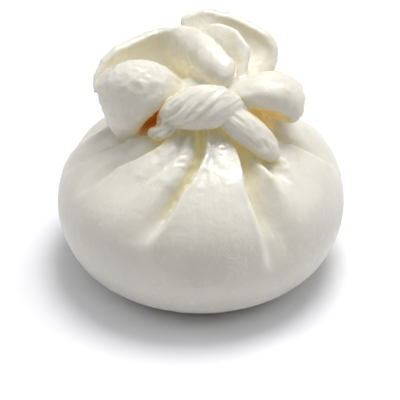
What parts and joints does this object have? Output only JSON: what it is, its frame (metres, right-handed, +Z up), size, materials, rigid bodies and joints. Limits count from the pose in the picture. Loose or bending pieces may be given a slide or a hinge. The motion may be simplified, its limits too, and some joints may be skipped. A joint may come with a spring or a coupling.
{
  "type": "burrata cheese",
  "caption": "Fresh burrata: a soft round pouch of curd, pleated to the neck and tied with a knotted curd strand under a ruffled crown.",
  "frame": {"origin": "centre of the flat spot that the pouch rests on", "axes": "+Z up through the neck and crown, -Y towards the front, the side with the knot; +X towards the side where the strand's tail lies"},
  "size_m": [0.0941, 0.0941, 0.0784],
  "materials": {
    "curd": "moist satin, milky white curd",
    "strand": "moist satin, milky white curd strand"
  },
  "bodies": {
    "root": {"pouch": "curd", "tie": "strand"}
  },
  "joints": []
}
